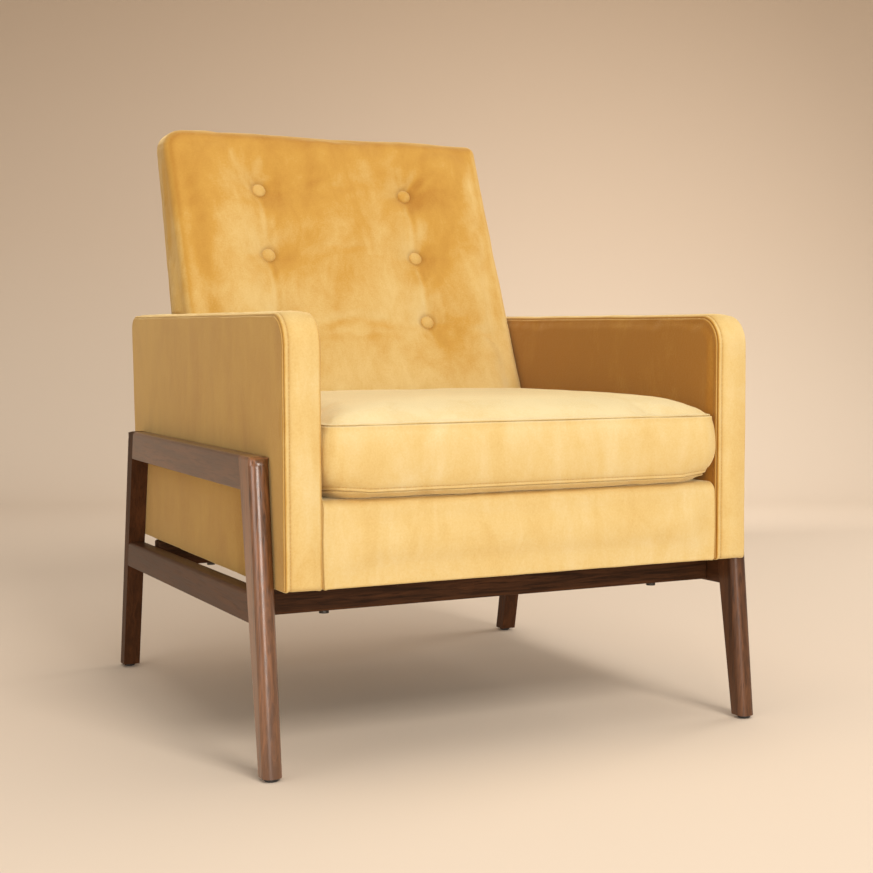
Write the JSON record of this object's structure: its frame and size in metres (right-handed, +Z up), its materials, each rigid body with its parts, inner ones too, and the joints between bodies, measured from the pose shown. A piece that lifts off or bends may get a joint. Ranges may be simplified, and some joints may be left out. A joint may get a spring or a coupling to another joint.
{
  "type": "upholstered armchair",
  "caption": "Lounge armchair: velvet box arms, tufted reclined back and loose seat cushion on open stained-wood side frames.",
  "frame": {"origin": "on the floor, under the middle of the whole chair's width and depth", "axes": "+X to the right of a viewer who faces the chair's front, +Y to the rear, +Z up"},
  "size_m": [0.72, 0.7798, 0.875],
  "materials": {
    "walnut": "dark walnut-stained hardwood, satin lacquer",
    "gold_velvet": "golden mustard velvet, short brushed pile",
    "beech": "raw sawn beech",
    "foam": "upholstery foam, open cell",
    "zinc_steel": "zinc-plated steel",
    "dark_plastic": "dark moulded plastic",
    "black_cambric": "black non-woven cambric",
    "jute": "woven jute webbing"
  },
  "bodies": {
    "chair": {"left_front_leg": "walnut", "left_rear_leg": "walnut", "left_top_rail": "walnut", "left_lower_rail": "walnut", "left_front_glide": "dark_plastic", "left_rear_glide": "dark_plastic", "left_front_body_bolt": "zinc_steel", "left_rear_body_bolt": "zinc_steel", "left_arm_cover": "gold_velvet", "left_arm_foam": "foam", "left_arm_top_rail": "beech", "left_arm_bottom_rail": "beech", "left_arm_front_post": "beech", "left_arm_rear_post": "beech", "left_button_1": "gold_velvet", "left_button_2": "gold_velvet", "left_button_3": "gold_velvet", "right_front_leg": "walnut", "right_rear_leg": "walnut", "right_top_rail": "walnut", "right_lower_rail": "walnut", "right_front_glide": "dark_plastic", "right_rear_glide": "dark_plastic", "right_front_body_bolt": "zinc_steel", "right_rear_body_bolt": "zinc_steel", "right_arm_cover": "gold_velvet", "right_arm_foam": "foam", "right_arm_top_rail": "beech", "right_arm_bottom_rail": "beech", "right_arm_front_post": "beech", "right_arm_rear_post": "beech", "right_button_1": "gold_velvet", "right_button_2": "gold_velvet", "right_button_3": "gold_velvet", "front_cross_rail": "walnut", "rear_cross_rail": "walnut", "deck_cover": "gold_velvet", "deck_foam": "foam", "seat_front_rail": "beech", "seat_rear_rail": "beech", "seat_left_rail": "beech", "seat_right_rail": "beech", "back_left_post": "beech", "back_right_post": "beech", "back_top_rail": "beech", "back_lower_rail": "beech", "seat_spring_1": "zinc_steel", "seat_spring_2": "zinc_steel", "seat_spring_3": "zinc_steel", "seat_spring_4": "zinc_steel", "seat_spring_5": "zinc_steel", "back_cover": "gold_velvet", "back_foam": "foam", "back_webbing_1": "jute", "back_webbing_2": "jute", "back_webbing_3": "jute", "dust_cover": "black_cambric"},
    "seat_cushion": {"cushion_cover": "gold_velvet", "cushion_core": "foam"}
  },
  "joints": [
    {"name": "cushion_lift", "type": "slide", "parent": "chair", "child": "seat_cushion", "axis": [0, 0, 1], "range_m": [0, 0.26]}
  ]
}
